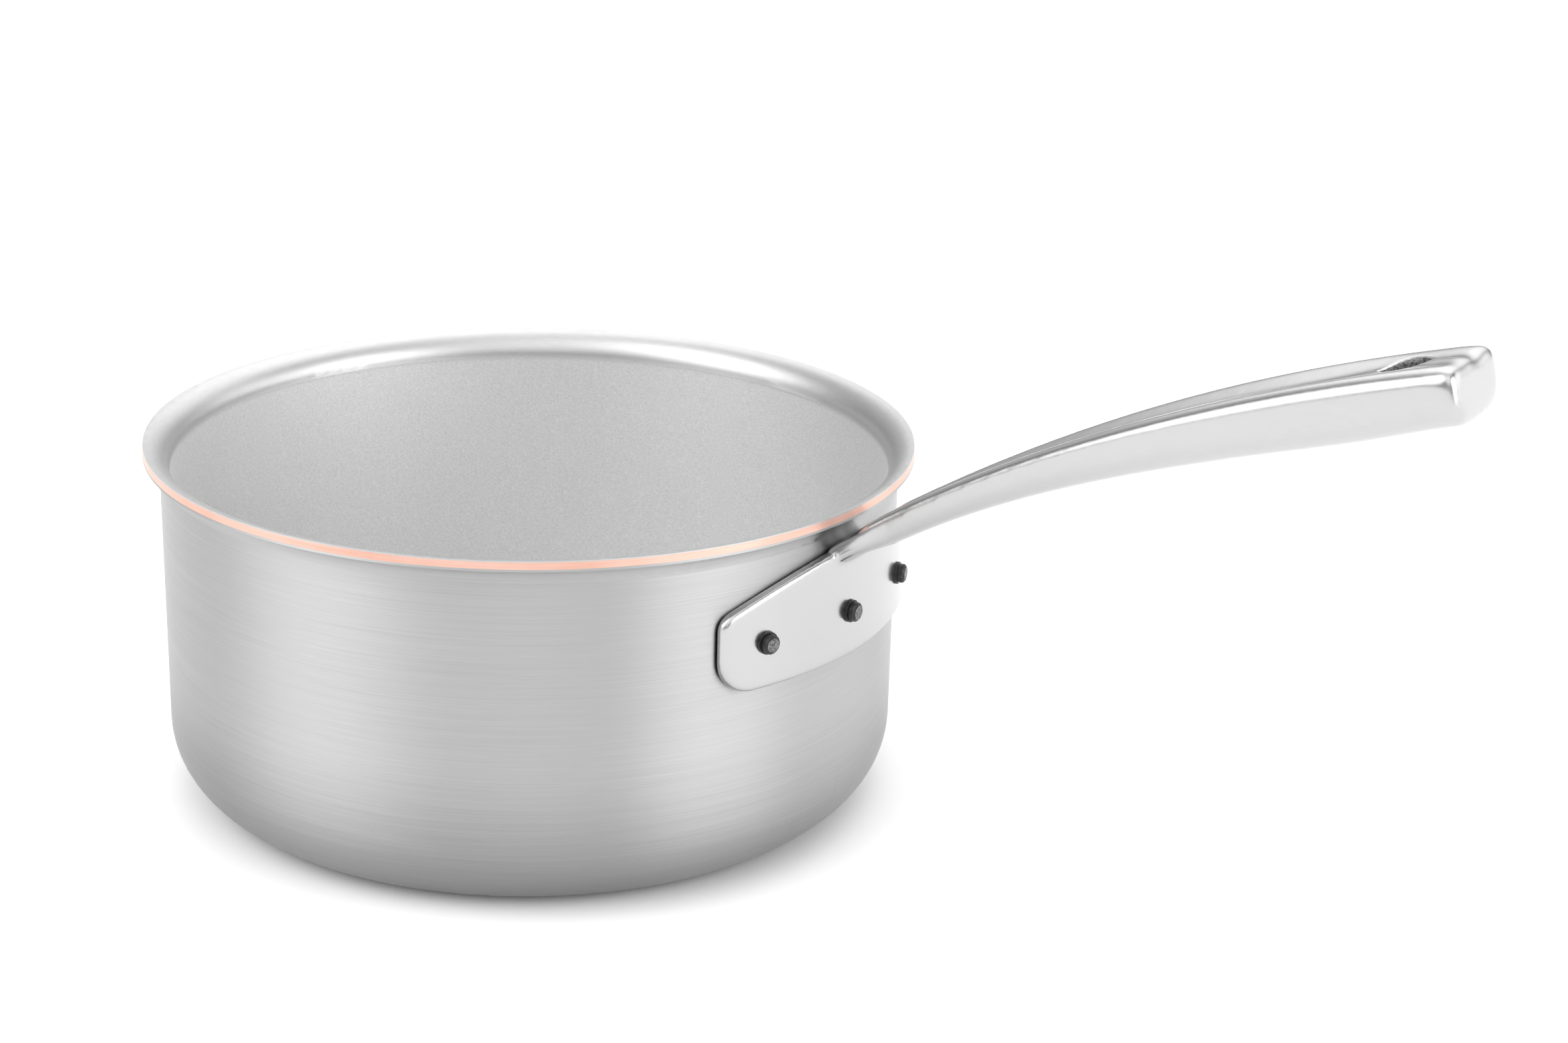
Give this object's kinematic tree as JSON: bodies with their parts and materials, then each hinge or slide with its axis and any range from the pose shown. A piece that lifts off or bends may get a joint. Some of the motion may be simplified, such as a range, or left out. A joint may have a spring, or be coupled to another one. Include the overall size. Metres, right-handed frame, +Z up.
{
  "type": "saucepan",
  "caption": "Straight-sided clad saucepan with a flared pouring rim that shows a copper core, and a long cast handle riveted on by a curved plate.",
  "frame": {"origin": "centre of the flat base, on the surface that the pan stands on", "axes": "+X out along the handle, +Y to the left seen from the pan along the handle, +Z up"},
  "size_m": [0.338, 0.193, 0.153],
  "materials": {
    "outer_steel": "brushed round the wall",
    "copper": "satin cut edge",
    "inner_steel": "satin, fine grain",
    "handle_steel": "polished casting",
    "rivet_steel": "darkened",
    "black_collar": "black, satin"
  },
  "bodies": {
    "root": {"outer_steel_shell": "outer_steel", "copper_core": "copper", "inner_steel_lining": "inner_steel", "handle": "handle_steel", "rivet_pin_left": "rivet_steel", "rivet_pin_centre": "rivet_steel", "rivet_pin_right": "rivet_steel", "rivet_collar_left": "black_collar", "rivet_collar_centre": "black_collar", "rivet_collar_right": "black_collar"}
  },
  "joints": []
}
